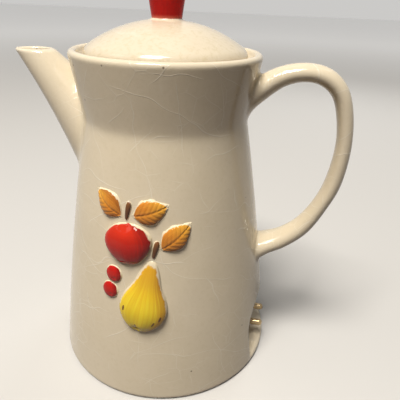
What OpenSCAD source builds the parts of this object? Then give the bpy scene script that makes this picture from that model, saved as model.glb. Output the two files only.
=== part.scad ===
// Electric ceramic coffee pot with a lift-off lid.
// Glazed vessel with a luted spout, handle and fruit relief, on a hollow skirt that is cast apart
// and luted under it. The skirt's dry chamber holds a flat mica heating element, which a spring
// presses against the vessel's floor, and a screwed base plate closes it.
// Two round pins stand in a pocket under the handle and take a separate appliance lead.
// Origin: centre of the foot, on the table. +Z up, +X towards the handle, -X towards the spout,
// -Y is the decorated face.

/* [Body] */
// Height of the rim above the table
body_h = 206; // [200:1:216]
// Outer radius of the rim
rim_r = 56.5; // [55.5:0.5:59]
// Height of the waist, where the lower wall meets the collar
waist_z = 167; // [160:1:172]
// Outer radius at the waist
waist_r = 50.4; // [50:0.1:52]
// Outer radius just above the foot
base_r = 76; // [74:0.5:78]
// How far the lower wall bows out from a straight line
wall_bow = 1.7; // [0.5:0.1:2.5]
// Softness of the crease at the waist
waist_blend = 1; // [0.3:0.1:1.5]
// Thickness of the fired wall
wall = 4.5; // [4:0.1:5]
// Thickness of the rounded lip
lip_t = 5; // [4.5:0.1:5.5]
// Radius of the bottom edge
foot_round = 2.5; // [2:0.5:4]
// Width of the flat foot ring
foot_ring_w = 5.5; // [5:0.1:6]
// Height of the foot ring's inner lip
foot_lip_h = 6; // [5.5:0.1:7]
// Height of the dry chamber's ceiling
dry_h = 48; // [48:0.5:53]
// Thickness of the liquid floor
floor_t = 5; // [4:0.5:6]
// Radius of the corner between the liquid floor and the wall
floor_round = 8; // [5:0.5:10]

/* [Lid] */
// Height of the ledge that the lid rests on, below the rim
seat_drop = 6.5; // [5.5:0.5:8]
// Outer radius of the lid
lid_r = 48; // [47.5:0.1:48.4]
// Gap between the lid and the body
lid_gap = 1; // [0.5:0.1:1.4]
// Width of the ledge under the lid
seat_w = 3.6; // [3:0.1:4]
// Radius of the lid's crown
crown_r = 80; // [72:1:90]
// Radius of the lid's rolled edge
lid_edge_r = 7; // [6:0.5:8]
// Height of the crown's top above the ledge
lid_rise = 22.8; // [21.5:0.1:24]
// Thickness of the lid
lid_t = 4; // [3.5:0.1:4.5]
// Depth of the locating ring below the ledge
ring_h = 11; // [8:0.5:13]
// Thickness of the locating ring
ring_t = 3.5; // [3:0.1:4]
// Radius of the steam hole
vent_r = 1.8; // [1.5:0.1:2.5]
// Distance of the steam hole from the lid's centre
vent_pos = 25; // [18:1:30]

/* [Knob] */
// Height of the knob
knob_h = 26; // [22:0.5:30]
// Radius of the knob where it meets the lid
knob_foot_r = 8.8; // [8:0.1:10]
// Radius of the knob near its top
knob_top_r = 12; // [11:0.1:13.5]
// Radius of the knob's upper edge
knob_round = 2.6; // [1.5:0.1:3.5]
// Height of the knob's domed top
knob_dome = 1.4; // [0.8:0.1:2.5]

/* [Spout] */
// Distance of the mouth's centre from the pot's axis
spout_reach = 86.5; // [83:0.5:90]
// Height of the mouth, below the rim
mouth_drop = 3.5; // [1:0.5:6]
// Lean of the spout from upright
spout_tilt = 40.5; // [39:0.5:42]
// Outer radius of the spout at the mouth
mouth_r = 9.2; // [8.8:0.1:10]
// Half angle of the spout's taper
spout_taper = 13.2; // [12.4:0.1:14]
// How far the spout's outline bows in from a straight cone
spout_bow = 1.7; // [1:0.1:2.2]
// Thickness of the spout's wall
spout_wall = 2.6; // [2.2:0.1:3]
// Radius of the hole through the body's wall behind the spout
throat_r = 14; // [10:0.5:15]
// How far that hole lies below the point where the spout's axis meets the wall
throat_drop = 11; // [8:0.5:12]

/* [Handle] */
// Distance from the pot's axis to the middle of the handle's outermost stretch
handle_reach = 109; // [104:1:114]
// Height of the middle of the handle's top, below the rim
handle_top_drop = 8.5; // [6:0.5:11]
// Height of the upper root, below the rim
handle_root_drop = 24; // [22:0.5:28]
// Height of the lower root above the table
handle_low_z = 81; // [77:1:87]
// Thickness of the handle, seen from the side
handle_t = 9.4; // [8.5:0.1:11]
// Width of the handle, seen from behind
handle_w = 15; // [13:0.5:17]

/* [Relief] */
// Height of the middle of the relief
relief_z = 93; // [87:1:99]
// Height of the relief
relief_h = 84; // [72:1:92]
// Share of a fruit's half width that stands out of the wall
relief_depth = 0.42; // [0.3:0.02:0.5]

/* [Inlet] */
// Distance between the centres of the two pins
pin_gap = 17.5; // [16.5:0.1:18.5]
// Radius of a pin
pin_r = 2.38; // [2.2:0.02:2.6]
// Height of the pins above the table
pin_z = 17.4; // [16.5:0.1:19]
// Length of a pin in front of its collar
pin_len = 14; // [12:0.5:15]
// Depth of the pocket's back wall behind the foot's outer edge
pocket_depth = 17; // [16:0.5:18]
// Half width of the pocket
pocket_half_w = 30; // [28:0.5:31]
// Height of the pocket's floor above the table
pocket_floor = 5; // [4.5:0.1:6]
// Height of the pocket's top above the table
pocket_top = 44; // [41:0.5:44]
// Radius of the pocket's upper corners
pocket_round = 20; // [14:0.5:20]
// Thickness of the pocket's walls
pocket_wall = 4; // [3.5:0.1:4.5]

/* [Heater] */
// Gap between the mica discs and the wall behind the inlet pocket
mica_gap = 11; // [10:0.5:13]
// Thickness of one mica sheet
mica_t = 0.5; // [0.4:0.05:0.7]
// Width of the resistance ribbon
ribbon_w = 2.4; // [2:0.1:3]
// Thickness of the resistance ribbon
ribbon_t = 0.25; // [0.2:0.01:0.3]
// Distance between two turns of the ribbon
ribbon_pitch = 7.5; // [7:0.1:8]
// Thickness of the insulating pad
pad_t = 3; // [2.5:0.1:4]
// Radius of the clamp plate
clamp_r = 48.5; // [47:0.5:49]
// Thickness of sheet-metal parts
sheet_t = 1.2; // [1:0.1:1.5]
// Depth of the clamp plate's turned edge
clamp_edge = 5; // [3:0.5:7]
// Mean radius of the pressure spring
spring_r = 9; // [8:0.5:11]
// Radius of the spring's wire
wire_r = 0.9; // [0.8:0.05:1.1]
// Number of turns of the spring
spring_turns = 7; // [6:1:9]
// Radius of a sleeved lead
lead_r = 1.5; // [1.2:0.1:1.8]

/* [Base] */
// Height of the base plate's underside
plate_z = 3; // [2.9:0.1:3.3]
// Gap between the base plate and the foot ring
plate_gap = 0.6; // [0.4:0.1:1]
// Radius of the screws' circle
screw_pcd_r = 54; // [53:0.5:55]
// Radius of a base screw
screw_r = 2; // [1.8:0.1:2.2]
// Length of a base screw below its head
screw_len = 14; // [12:0.5:16]
// Radius of a ceramic lug
lug_r = 5.2; // [5:0.1:5.6]
// Radius of a vent hole in the base plate
plate_vent_r = 2.5; // [2:0.1:3]

/* [Hidden] */
$fn = 96;

// Small working values
fit_gap = 0.1;      // radial gap of a pin or screw in its hole
seam_gap = 0.05;    // glaze line between a relief piece and the wall
over = 1;           // how far a cut runs past the face it opens
end_w = 0.8;        // half width of a relief piece's last ring
tip_reach = 0.5;    // the tip's reach beyond that ring
far = 200;          // larger than anything it cuts
arc_steps = 10;
waist_reach = 6;    // how far the soft crease at the waist is drawn, above and below

// Places that follow from the driving dimensions
lip_z = body_h - lip_t / 2;
seat_z = body_h - seat_drop;
seat_in_r = lid_r - seat_w;
ledge_h = 4;
ledge_slope_h = 6.5;
floor_z = dry_h + floor_t;
pocket_x = base_r - pocket_depth;
wall_back = pocket_x - pocket_wall;
mica_r = wall_back - mica_gap;
foot_out_r = base_r - foot_round;
foot_in_r = foot_out_r - foot_ring_w;
mouth_z = body_h - mouth_drop;
throat_z = mouth_z - (spout_reach - waist_r) / tan(spout_tilt) - throat_drop;
lug_angles = [60, 180, 300];
plate_top = plate_z + sheet_t;
relief_scale = relief_h / 84;   // the fruits' shapes are drawn for a relief 84 mm high

// Heights of the heater's layers, from the liquid floor down
mica_upper_z = dry_h - mica_t;
core_z = mica_upper_z - ribbon_t - mica_t;
mica_lower_z = core_z - ribbon_t - mica_t;
pad_z = mica_lower_z - pad_t;
clamp_z = pad_z - sheet_t;

// ---- functions -----------------------------------------------------------------------------

function mix(a, b, t) = a + (b - a) * t;
function unit(v) = v / norm(v);

// Points of an arc in the plane of a profile
function arc(cx, cy, r, from, to, n = arc_steps) =
    [for (i = [0:n]) let (a = mix(from, to, i / n)) [cx + r * cos(a), cy + r * sin(a)]];

// Radius of the body's outer surface at a height
function lower_r(z) =
    let (t = (z - foot_round) / (waist_z - foot_round)) mix(base_r, waist_r, t) + 4 * wall_bow * t * (1 - t);
function collar_r(z) = mix(waist_r, rim_r, (z - waist_z) / (lip_z - waist_z));
function outer_r(z) =
    let (a = lower_r(z), b = collar_r(z)) (a + b + sqrt((a - b) ^ 2 + waist_blend ^ 2)) / 2;
function inner_r(z) = outer_r(z) - wall;

// A smooth curve through a list of control points, at parameter u from 0 to len - 1
function curve(p, u) =
    let (n = len(p) - 1, i = min(floor(u), n - 1), f = u - i,
         a = p[max(i - 1, 0)], b = p[i], c = p[i + 1], d = p[min(i + 2, n)])
    0.5 * (2 * b + (c - a) * f + (2 * a - 5 * b + 4 * c - d) * f ^ 2 + (3 * b - a - 3 * c + d) * f ^ 3);

// ---- shared modules ------------------------------------------------------------------------

// A solid skinned over rings of points, all of one length. It closes with flat ends, or in two tips
module skin(rings, tips = []) {
    n = len(rings[0]);
    m = len(rings);
    last = (m - 1) * n;
    flat_ends = [[for (j = [0:n - 1]) n - 1 - j], [for (j = [0:n - 1]) last + j]];
    fans = [for (j = [0:n - 1]) let (k = (j + 1) % n) each [[m * n, k, j], [m * n + 1, last + j, last + k]]];
    polyhedron(
        points = [for (r = concat(rings, [tips])) each r],
        faces = concat(
            [for (i = [0:m - 2]) for (j = [0:n - 1])
                let (a = i * n + j, b = i * n + (j + 1) % n) each [[a, b, b + n], [a, b + n, a + n]]],
            len(tips) == 0 ? flat_ends : fans),
        convexity = 6);
}

// A round tube along points; side is a direction that the tube never runs along
module tube(points, r, side, sides = 8) {
    n = len(points) - 1;
    skin([for (i = [0:n])
        let (t = unit(points[min(i + 1, n)] - points[max(i - 1, 0)]),
             s = is_list(side[0]) ? side[i] : side,
             u = unit(cross(t, s)), v = cross(t, u))
        [for (j = [0:sides - 1]) let (a = 360 * j / sides) points[i] + r * (u * cos(a) + v * sin(a))]]);
}

// Copies at both pins
module at_pins() {
    for (s = [-1, 1]) translate([0, s * pin_gap / 2, pin_z]) children();
}

// Copies at the three lugs
module at_lugs() {
    for (a = lug_angles) rotate([0, 0, a]) translate([screw_pcd_r, 0, 0]) children();
}

// ---- ceramic body --------------------------------------------------------------------------

// Heights at which the wall is drawn between two levels, with more of them at the waist
function wall_levels(low, high) = concat(
    [for (i = [0:4]) mix(low, waist_z - waist_reach, i / 4)],
    [for (i = [1:7]) waist_z + waist_reach * (i / 4 - 1)],
    [waist_z + waist_reach, high]);

// The lip and the outside down to the seam between the vessel and its skirt
vessel_outside = concat(
    [for (z = wall_levels(dry_h, lip_z)) [outer_r(z), z]],
    arc(outer_r(lip_z) - lip_t / 2, lip_z, lip_t / 2, 0, 180));

skirt_outside = concat(
    arc(foot_out_r, foot_round, foot_round, -90, 0),
    [for (i = [1:3]) let (z = mix(foot_round, dry_h, i / 3)) [outer_r(z), z]]);

// From the lid's seat down to the middle of the liquid floor
inside_levels = wall_levels(floor_z + floor_round, seat_z - ledge_h - ledge_slope_h);
vessel_inside = concat(
    [[lid_r + lid_gap, seat_z], [seat_in_r, seat_z], [seat_in_r, seat_z - ledge_h]],
    [for (i = [len(inside_levels) - 1:-1:0]) [inner_r(inside_levels[i]), inside_levels[i]]],
    arc(inner_r(floor_z + floor_round) - floor_round, floor_z + floor_round, floor_round, 0, -90),
    [[0, floor_z]]);

skirt_inside = concat(
    [for (i = [0:3]) let (z = mix(dry_h, 2 * foot_lip_h, i / 3)) [inner_r(z), z]],
    [[foot_in_r, foot_lip_h], [foot_in_r, 0]]);

// The outer form, filled to the axis
module body_envelope() {
    rotate_extrude() polygon(concat([[0, 0]], skirt_outside, vessel_outside, [[0, lip_z]]));
}

// Outline of the inlet pocket, seen along X, grown by a wall thickness
module pocket_outline(grow) {
    w = pocket_half_w + grow;
    r = pocket_round + grow;
    top = pocket_top + grow;
    low = pocket_floor - grow;
    intersection() {
        translate([-w, low]) square([2 * w, top - low]);
        union() {
            translate([-w, low]) square([2 * w, top - low - r]);
            translate([r - w, low]) square([2 * (w - r), top - low]);
            for (s = [-1, 1]) translate([s * (w - r), top - r]) circle(r);
        }
    }
}

// The pocket's solid form from x outwards
module pocket_block(x, grow) {
    translate([x, 0, 0]) rotate([90, 0, 90]) linear_extrude(far) pocket_outline(grow);
}

// Radius of the spout at a distance down its axis from the mouth
spout_len = 80;
function spout_r(d) =
    let (t = d / spout_len) mouth_r + d * tan(spout_taper) - 4 * spout_bow * t * (1 - t);

module spout_cone(inset, from = -12, to = 86) {
    translate([-spout_reach, 0, mouth_z]) rotate([0, 180 - spout_tilt, 0]) rotate_extrude()
        polygon(concat(
            [[0, from]],
            [for (i = [0:arc_steps]) let (d = mix(from, to, i / arc_steps)) [spout_r(d) - inset, d]],
            [[0, to]]));
}

// Lugs with webs to the skirt's wall; the webs start above the base plate's rim
module lugs() {
    web_w = 7;
    web_z = foot_lip_h + 2;
    at_lugs() {
        translate([0, 0, plate_top]) cylinder(r = lug_r, h = clamp_z - plate_top);
        translate([0, -web_w / 2, web_z]) cube([inner_r(clamp_z) - screw_pcd_r + over, web_w, clamp_z - web_z]);
    }
}

module pot_body() {
    color("ivory") difference() {
        rotate_extrude() polygon(concat([[0, dry_h]], vessel_outside, vessel_inside));
        translate([0, 0, throat_z]) rotate([0, -90, 0]) cylinder(r = throat_r, h = far);
    }
}

// Skirt with the foot ring, the inlet pocket and the lugs, luted to the vessel's underside
module pot_skirt() {
    bush_h = screw_len - sheet_t;
    color("ivory") difference() {
        union() {
            rotate_extrude() polygon(concat(skirt_outside, skirt_inside));
            intersection() {
                body_envelope();
                union() {
                    lugs();
                    pocket_block(wall_back, pocket_wall);
                }
            }
        }
        pocket_block(pocket_x, 0);
        at_pins() translate([wall_back - over, 0, 0]) rotate([0, 90, 0])
            cylinder(r = screw_r + fit_gap, h = pocket_wall + 2 * over);
        at_lugs() translate([0, 0, plate_top - over]) cylinder(r = bush_r + fit_gap, h = bush_h + 2 * over);
    }
}

module spout() {
    color("ivory") difference() {
        spout_cone(0);
        spout_cone(spout_wall, -15, 92);
        body_envelope();
        translate([-far, -far / 2, mouth_z]) cube(far);
    }
}

// ---- handle --------------------------------------------------------------------------------

// Share of the reach from the wall outwards, share of the height from the lower root to the top,
// and thickness and width as multiples of the handle's own
handle_shape = [
    [-0.250, 0.786, 2.10, 1.60], [0.000, 0.885, 1.59, 1.35], [0.276, 0.974, 1.24, 1.10],
    [0.545, 1.001, 1.11, 1.00], [0.771, 0.968, 1.11, 0.98], [0.924, 0.871, 1.04, 0.95],
    [1.010, 0.669, 1.00, 0.93], [0.981, 0.450, 1.09, 0.93], [0.861, 0.291, 1.08, 0.95],
    [0.660, 0.153, 1.26, 1.04], [0.372, 0.059, 1.39, 1.20], [0.071, 0.006, 1.55, 1.55],
    [-0.237, -0.069, 2.30, 2.00]];

handle_root_x = outer_r(body_h - handle_root_drop);
handle_top_z = body_h - handle_top_drop;
handle_lean = outer_r(handle_low_z) - handle_root_x;

// Control points as x, z, thickness and width; the lower end leans out with the wall
handle_path = [for (p = handle_shape)
    let (low = max(0, 1 - p[1] * 2.2) * max(0, 1 - max(p[0], 0)))
    [mix(handle_root_x, handle_reach, p[0]) + handle_lean * low, mix(handle_low_z, handle_top_z, p[1]),
     p[2] * handle_t, p[3] * handle_w]];

module handle_form(steps = 60, sides = 24) {
    n = len(handle_path) - 1;
    skin([for (i = [0:steps])
        let (u = n * i / steps, e = 0.01, c = curve(handle_path, u),
             t = unit(curve(handle_path, min(u + e, n)) - curve(handle_path, max(u - e, 0))),
             d = unit([t[0], t[1]]))
        [for (j = [0:sides - 1])
            let (a = 360 * j / sides, s = c[2] / 2 * cos(a))
            [c[0] - d[1] * s, c[3] / 2 * sin(a), c[1] + d[0] * s]]]);
}

module handle() {
    color("ivory") difference() {
        handle_form();
        body_envelope();
    }
}

// ---- relief --------------------------------------------------------------------------------

// A point that stands h above the body's wall, u along its curve and v above the relief's middle
function on_wall(u, v, h) =
    let (z = relief_z + v * relief_scale, r = outer_r(z), a = u * relief_scale / r * 180 / PI,
         d = r + seam_gap + h * relief_scale)
    [d * sin(a), -d * cos(a), z];

// Half of a rounded body lying on the wall. shape is a list of half widths along its axis, at even
// steps, which close to round ends where ends is 1 and to points where ends is 2. at and turn place
// it, and depth is the share of the half width that stands out
module relief_piece(at, turn, length, shape, ends = 1, depth = relief_depth, across = 9, steps = 18) {
    n = len(shape) - 1;
    function place(u, s, h) =
        on_wall(at[0] + u * cos(turn) - s * sin(turn), at[1] + u * sin(turn) + s * cos(turn), h);
    skin(
        [for (i = [0:steps])
            let (t = (1 - cos(180 * i / steps)) / 2, s = length * (t - 0.5),
                 w = max(curve(shape, n * t) * sin(180 * i / steps) ^ ends, end_w))
            concat(
                [for (j = [0:across]) let (a = 180 * j / across) place(w * cos(a), s, w * depth * sin(a))],
                [for (j = [1:across - 1]) place(w * (2 * j / across - 1), s, 0)])],
        tips = [for (end = [-1, 1]) place(0, end * (length / 2 + tip_reach), 0)]);
}

pear_shape = [15.5, 16.2, 15.4, 12.4, 8.8, 7.6, 7.2];
apple_shape = [11.5, 12.8, 14.2, 14.8, 14];
leaf_shape = [6.4, 7.4, 6.4, 5.2];
berry_shape = [5.2, 5.2];
stem_shape = [1.6, 1.4, 1.7, 2.3];

module relief_pear() {
    color("gold") relief_piece([3.5, -17.5], -9, 47, pear_shape);
}

module relief_apple() {
    color("firebrick") relief_piece([-7.5, 14.5], 7, 25, apple_shape);
}

// Each leaf is given by its middle, its turn and its length
module relief_leaves() {
    color("darkorange") for (leaf = [[20, 20.2, -48, 23], [-20.2, 36, 56, 22], [5.2, 34.6, -70, 22]])
        relief_piece([leaf[0], leaf[1]], leaf[2], leaf[3], leaf_shape, 2, across = 7, steps = 14);
}

module relief_berries() {
    color("firebrick") for (berry = [[-16.4, -6.2], [-19, -17.2]])
        relief_piece(berry, 0, 10.4, berry_shape, across = 7, steps = 12);
}

module relief_stems() {
    color("saddlebrown") for (stem = [[-7.8, 33.9, -10, 11], [8.65, 12.7, -12, 11]])
        relief_piece([stem[0], stem[1]], stem[2], stem[3], stem_shape, depth = 0.9, across = 5, steps = 8);
}

// ---- lid -----------------------------------------------------------------------------------

crown_z = seat_z + lid_rise;
edge_c = lid_r - lid_edge_r;
// Angle at which the crown's arc passes into the rolled edge
crown_end = asin(edge_c / (crown_r - lid_edge_r));
edge_z = crown_z - crown_r + (crown_r - lid_edge_r) * cos(crown_end);

lid_top_profile = concat(
    [[lid_r, seat_z]],
    arc(edge_c, edge_z, lid_edge_r, 0, 90 - crown_end),
    [for (i = [1:arc_steps]) let (a = crown_end * (1 - i / arc_steps)) [crown_r * sin(a), crown_z - crown_r * (1 - cos(a))]]);

ring_out_r = seat_in_r - lid_gap;
ring_in_r = ring_out_r - ring_t;
// The hollow under the crown keeps the lid's thickness
hollow_r = crown_r - lid_t;
hollow_z = crown_z - lid_t;
hollow_end = asin(ring_in_r / hollow_r);

lid_under_profile = concat(
    [for (i = [0:arc_steps]) let (a = hollow_end * i / arc_steps) [hollow_r * sin(a), hollow_z - hollow_r * (1 - cos(a))]],
    [[ring_in_r, seat_z - ring_h], [ring_out_r - 1, seat_z - ring_h], [ring_out_r, seat_z - ring_h + 1], [ring_out_r, seat_z]]);

module lid() {
    color("ivory") difference() {
        rotate_extrude() polygon(concat(lid_top_profile, lid_under_profile));
        translate([0, vent_pos, hollow_z - crown_r]) cylinder(r = vent_r, h = far);
    }
}

// The knob's foot follows the crown that it is luted to
module lid_knob() {
    top = crown_z + knob_h;
    edge = knob_top_r - knob_round;
    color("red") difference() {
        rotate_extrude() polygon(concat(
            [[0, crown_z - 1.5], [knob_foot_r, crown_z - 1.5], [knob_foot_r, crown_z + 0.5]],
            arc(edge, top - knob_dome - knob_round, knob_round, -8, 90, 8),
            [[edge * 0.6, top - 0.3 * knob_dome], [0, top]]));
        rotate_extrude() polygon(concat(lid_top_profile, [[0, seat_z]]));
    }
}

// ---- inlet ---------------------------------------------------------------------------------

collar_t = 2;
washer_t = 0.8;
nut_t = 3;
nut_r = 4.05;
clamp_nut_x = wall_back - washer_t - nut_t;
terminal_x = clamp_nut_x - washer_t;
outer_nut_x = terminal_x - nut_t;
tail_end_x = outer_nut_x - 2;

module along_x(x) {
    translate([x, 0, 0]) rotate([0, 90, 0]) children();
}

// Turned pins: a threaded tail, a collar against the pocket's back wall and a domed tip
module inlet_pins() {
    tip_x = pocket_x + collar_t + pin_len - pin_r;
    color("gold") at_pins() {
        along_x(tail_end_x) cylinder(r = screw_r, h = pocket_x - tail_end_x + over);
        along_x(pocket_x) cylinder(r = pin_r + 2, h = collar_t);
        along_x(pocket_x) cylinder(r = pin_r, h = tip_x - pocket_x);
        translate([tip_x, 0, 0]) sphere(pin_r);
    }
}

module pin_washers() {
    color("sienna") at_pins() along_x(wall_back - washer_t) difference() {
        cylinder(r = nut_r + 0.9, h = washer_t);
        translate([0, 0, -over]) cylinder(r = screw_r + fit_gap, h = washer_t + 2 * over);
    }
}

module nut() {
    difference() {
        cylinder(r = nut_r, h = nut_t, $fn = 6);
        translate([0, 0, -over]) cylinder(r = screw_r + fit_gap / 2, h = nut_t + 2 * over);
    }
}

module pin_nuts() {
    color("gold") at_pins() {
        along_x(clamp_nut_x) nut();
        along_x(outer_nut_x) nut();
    }
}

// Ring terminals with a barrel that grips the lead
barrel_z = 7.5;
barrel_h = 6;

module ring_terminals() {
    color("silver") at_pins() difference() {
        union() {
            along_x(terminal_x) cylinder(r = nut_r, h = washer_t);
            translate([terminal_x, -nut_r / 2, 0]) cube([washer_t, nut_r, barrel_z]);
            translate([terminal_x + washer_t / 2, 0, barrel_z - 1]) cylinder(r = lead_r + 0.6, h = barrel_h);
        }
        along_x(terminal_x - over) cylinder(r = screw_r + fit_gap / 2, h = washer_t + 2 * over);
        translate([terminal_x + washer_t / 2, 0, barrel_z]) cylinder(r = lead_r, h = barrel_h);
    }
}

// ---- heater --------------------------------------------------------------------------------

tab_x = mica_r + 5.5;   // where a lead meets the element
tab_y = 10;
tab_r = 4;
rivet_r = 1.2;
rivet_head_r = 2.4;
rivet_head_t = 0.7;

// Sleeved leads from the ring terminals up to the element's tabs
module lead_wires() {
    start = [terminal_x + washer_t / 2, pin_gap / 2, pin_z + barrel_z];
    finish = [tab_x, tab_y, core_z - ribbon_t - rivet_head_t - seam_gap];
    rise = finish[2] - start[2];
    // Straight inside the barrel and at the rivet, and curved between
    path = [for (i = [0:14]) let (t = i / 14, e = min(max((t - 0.28) / 0.6, 0), 1), s = e * e * (3 - 2 * e))
        [mix(start[0], finish[0], s), mix(start[1], finish[1], s), start[2] + rise * t]];
    color("khaki") for (m = [0, 1]) mirror([0, m, 0]) tube(path, lead_r - 0.02, [0, 1, 0]);
}

// The element is wound in two halves, so both ends come out on the inlet's side
strip_in = 4;
strip_count = floor(2 * (mica_r - 5) / ribbon_pitch);
function strip_x(i) = (strip_count / 2 - i) * ribbon_pitch;
function strip_out(i) = sqrt((mica_r - 1.5) ^ 2 - strip_x(i) ^ 2);

module flat_strip(a, b, z) {
    d = b - a;
    translate([a[0], a[1], z]) rotate([0, 0, atan2(d[1], d[0])]) translate([-ribbon_w / 2, -ribbon_w / 2, 0])
        cube([norm(d) + ribbon_w, ribbon_w, ribbon_t]);
}

// Where the ribbon passes through the core
module ribbon_slots(grow) {
    for (i = [0:strip_count]) for (y = [strip_in, strip_out(i)])
        translate([strip_x(i) - ribbon_w / 2 - grow, y - ribbon_t - grow, core_z - ribbon_t])
            cube([ribbon_w + 2 * grow, 2 * ribbon_t + 2 * grow, mica_t + 2 * ribbon_t]);
}

module ribbon_half() {
    top = core_z + mica_t;
    ribbon_slots(0);
    for (i = [0:strip_count]) flat_strip([strip_x(i), strip_in], [strip_x(i), strip_out(i)], top);
    for (i = [0:strip_count - 1])
        flat_strip([strip_x(i), strip_out(i)], [strip_x(i + 1), strip_in], core_z - ribbon_t);
    flat_strip([strip_x(0), tab_y], [tab_x, tab_y], top);
    translate([tab_x, tab_y, top]) cylinder(r = tab_r - 1, h = ribbon_t);
}

module element_ribbon() {
    x = strip_x(strip_count);
    color("gray") difference() {
        union() {
            for (m = [0, 1]) mirror([0, m, 0]) ribbon_half();
            flat_strip([x, -strip_in], [x, strip_in], core_z + mica_t);
        }
        at_tabs() cylinder(r = rivet_r + fit_gap / 2, h = far, center = true);
    }
}

module at_tabs() {
    for (s = [-1, 1]) translate([tab_x, s * tab_y, core_z]) children();
}

module element_former() {
    color("wheat") difference() {
        union() {
            translate([0, 0, core_z]) cylinder(r = mica_r, h = mica_t);
            at_tabs() {
                cylinder(r = tab_r, h = mica_t);
                translate([-2 * tab_r, -tab_r, 0]) cube([2 * tab_r, 2 * tab_r, mica_t]);
            }
        }
        for (m = [0, 1]) mirror([0, m, 0]) ribbon_slots(fit_gap);
        at_tabs() cylinder(r = rivet_r + fit_gap / 2, h = far, center = true);
    }
}

// Rivets that join the ribbon, the core's tab and the lead
module element_rivets() {
    color("gold") at_tabs() {
        translate([0, 0, -ribbon_t - rivet_head_t]) cylinder(r = rivet_head_r, h = rivet_head_t);
        translate([0, 0, -ribbon_t]) cylinder(r = rivet_r, h = mica_t + 2 * ribbon_t);
        translate([0, 0, mica_t + ribbon_t]) cylinder(r = rivet_head_r - 0.6, h = mica_t * 0.8);
    }
}

module mica_disc(z) {
    translate([0, 0, z]) cylinder(r = mica_r, h = mica_t);
}

module mica_upper() {
    color("wheat") mica_disc(mica_upper_z);
}

module mica_lower() {
    color("wheat") mica_disc(mica_lower_z);
}

module insulating_pad() {
    color("whitesmoke") translate([0, 0, pad_z]) cylinder(r = mica_r, h = pad_t);
}

// Room for the leads at the edge of a plate
module lead_notch() {
    translate([tab_x - 2 * tab_r, -tab_y - 1.5 * tab_r, 0]) cube([far, 2 * tab_y + 3 * tab_r, far]);
}

spring_seat_r = spring_r - wire_r - 0.6;
spring_seat_h = 3;

module clamp_plate() {
    color("silver") difference() {
        union() {
            translate([0, 0, clamp_z]) cylinder(r = clamp_r, h = sheet_t);
            translate([0, 0, clamp_z - clamp_edge]) difference() {
                cylinder(r = clamp_r, h = clamp_edge);
                translate([0, 0, -over]) cylinder(r = clamp_r - sheet_t, h = clamp_edge + over);
            }
            translate([0, 0, clamp_z - spring_seat_h]) cylinder(r = spring_seat_r, h = spring_seat_h);
        }
        lead_notch();
    }
}

// Compression spring with closed ends: the first and last turn rise by one wire only
module pressure_spring() {
    per_turn = 20;
    low = plate_top + wire_r;
    high = clamp_z - wire_r;
    closed = 2 * wire_r + 0.2;
    steps = spring_turns * per_turn;
    function rise(t) =
        t < 1 ? closed * t :
        t > spring_turns - 1 ? high - low - closed * (spring_turns - t) :
        mix(closed, high - low - closed, (t - 1) / (spring_turns - 2));
    out = [for (i = [0:steps]) let (a = 360 * i / per_turn) [cos(a), sin(a), 0]];
    color("slategray")
        tube([for (i = [0:steps]) spring_r * out[i] + [0, 0, low + rise(i / per_turn)]], wire_r, out);
}

// ---- base ----------------------------------------------------------------------------------

bush_r = 3.1;
head_r = 3.8;
head_h = 2.1;
lock_t = 0.5;

// Pressed base plate with a flat side that clears the pocket, vents and a seat for the spring
module base_plate() {
    plate_r = foot_in_r - plate_gap;
    edge_h = foot_lip_h - plate_top;
    color("lightgray") difference() {
        union() {
            translate([0, 0, plate_z]) cylinder(r = plate_r, h = sheet_t);
            translate([0, 0, plate_top]) {
                difference() {
                    cylinder(r = plate_r, h = edge_h);
                    translate([0, 0, -over]) cylinder(r = plate_r - sheet_t, h = edge_h + 2 * over);
                }
                cylinder(r = spring_seat_r, h = spring_seat_h);
            }
        }
        translate([wall_back - plate_gap, -far / 2, 0]) cube(far);
        translate([0, 0, plate_z - over]) cylinder(r = spring_seat_r - sheet_t, h = spring_seat_h + over);
        at_lugs() cylinder(r = screw_r + fit_gap, h = far, center = true);
        at_lugs() translate([0, 0, plate_top]) cylinder(r = lug_r + 1.6, h = edge_h + over);
        for (a = [0:30:330]) rotate([0, 0, a]) translate([(spring_r + screw_pcd_r) / 2, 0, 0])
            cylinder(r = plate_vent_r, h = far, center = true);
    }
}

module base_screws() {
    color("silver") at_lugs() difference() {
        union() {
            translate([0, 0, plate_z - lock_t - head_h]) cylinder(r1 = head_r - 1, r2 = head_r, h = head_h);
            translate([0, 0, plate_z - lock_t]) cylinder(r = screw_r, h = screw_len);
        }
        translate([-head_r, -0.5, plate_z - lock_t - head_h - over]) cube([2 * head_r, 1, over + 0.9]);
    }
}

module screw_washers() {
    color("silver") at_lugs() translate([0, 0, plate_z - lock_t]) difference() {
        cylinder(r = head_r + 0.6, h = lock_t);
        translate([0, 0, -over]) cylinder(r = screw_r + fit_gap, h = lock_t + 2 * over);
    }
}

// Brass bushes cemented into the lugs
module screw_bushes() {
    bush_h = screw_len - sheet_t;
    color("gold") at_lugs() translate([0, 0, plate_top]) difference() {
        cylinder(r = bush_r, h = bush_h);
        translate([0, 0, -over]) cylinder(r = screw_r + fit_gap / 2, h = bush_h + 2 * over);
    }
}

pot_body();
pot_skirt();
spout();
handle();
relief_pear();
relief_apple();
relief_leaves();
relief_berries();
relief_stems();
lid();
lid_knob();
inlet_pins();
pin_washers();
pin_nuts();
ring_terminals();
lead_wires();
element_ribbon();
element_former();
element_rivets();
mica_upper();
mica_lower();
insulating_pad();
clamp_plate();
pressure_spring();
base_plate();
base_screws();
screw_bushes();
screw_washers();
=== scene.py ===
import math

import bmesh
import bpy
import numpy as np
from mathutils import Matrix, Vector


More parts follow.
